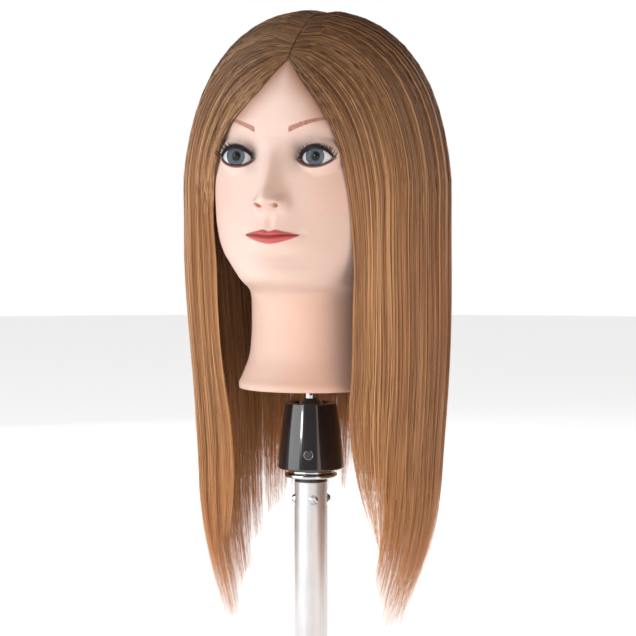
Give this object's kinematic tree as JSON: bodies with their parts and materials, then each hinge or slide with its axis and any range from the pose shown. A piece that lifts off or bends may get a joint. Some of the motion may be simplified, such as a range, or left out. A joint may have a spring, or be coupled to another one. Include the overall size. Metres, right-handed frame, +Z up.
{
  "type": "mannequin training head",
  "caption": "Life-size hairdressing head with long parted hair, glass-like eyes and a spring-locked ball joint on a metal column.",
  "frame": {"origin": "centre of the column's open lower end", "axes": "+Z up along the column, the face looks along -Y, +X is the head's own left"},
  "size_m": [0.2142, 0.2401, 0.535],
  "materials": {
    "column": "satin anodised",
    "screw_steel": "bright turned",
    "turned_steel": "turned",
    "collar": "gloss black",
    "ring_chrome": "polished",
    "stud_chrome": "polished",
    "sleeve": "gloss black",
    "key_black": "gloss black",
    "nylon": "moulded",
    "ball": "gloss black",
    "pin_dark": "blackened",
    "skin": "soft vinyl, satin",
    "socket_plastic": "moulded",
    "eye_white": "gloss",
    "iris": "printed, glossy",
    "cornea": "clear",
    "lash": "bristle",
    "hair": "long straight fibre"
  },
  "bodies": {
    "column": {"column_tube": "column", "column_screws": "screw_steel", "jaw_post": "turned_steel", "collar_bush": "collar", "flange_ring": "ring_chrome", "spring_seat": "ring_chrome", "disc_spring": "turned_steel", "release_spring": "turned_steel"},
    "sleeve": {"release_sleeve": "sleeve", "sleeve_liner": "turned_steel", "sleeve_key_screw": "key_black"},
    "swivel": {"friction_pad": "nylon", "hair_tips_left": "hair", "hair_tips_right": "hair", "hair_tips_back": "hair"},
    "ball": {"joint_ball": "ball"},
    "head": {"head_stud": "stud_chrome", "stud_cross_pin": "pin_dark", "neck_socket": "socket_plastic", "socket_screws": "screw_steel", "head_shell": "skin", "left_eyeball": "eye_white", "left_iris": "iris", "left_cornea": "cornea", "left_eye_cup": "socket_plastic", "left_lashes": "lash", "right_eyeball": "eye_white", "right_iris": "iris", "right_cornea": "cornea", "right_eye_cup": "socket_plastic", "right_lashes": "lash", "crown_hair_left": "hair", "crown_hair_right": "hair", "hair_length_left": "hair", "hair_length_right": "hair", "hair_length_back": "hair"}
  },
  "joints": [
    {"name": "sleeve_release", "type": "slide", "parent": "column", "child": "sleeve", "axis": [0, 0, -1], "range_m": [0, 0.006], "stiffness_N_per_m": 1500, "springref_m": -0.006, "deforming": ["release_spring"]},
    {"name": "head_turn", "type": "hinge", "parent": "column", "child": "swivel", "pos_m": [0, 0, 0.215], "axis": [0, 0, 1], "continuous": true},
    {"name": "head_lean", "type": "hinge", "parent": "swivel", "child": "ball", "pos_m": [0, 0, 0.215], "axis": [0, 1, 0], "range_deg": [-25, 25]},
    {"name": "head_tilt", "type": "hinge", "parent": "ball", "child": "head", "pos_m": [0, 0, 0.215], "axis": [1, 0, 0], "range_deg": [-30, 30], "deforming": ["hair_length_left", "hair_length_right", "hair_length_back"]}
  ]
}
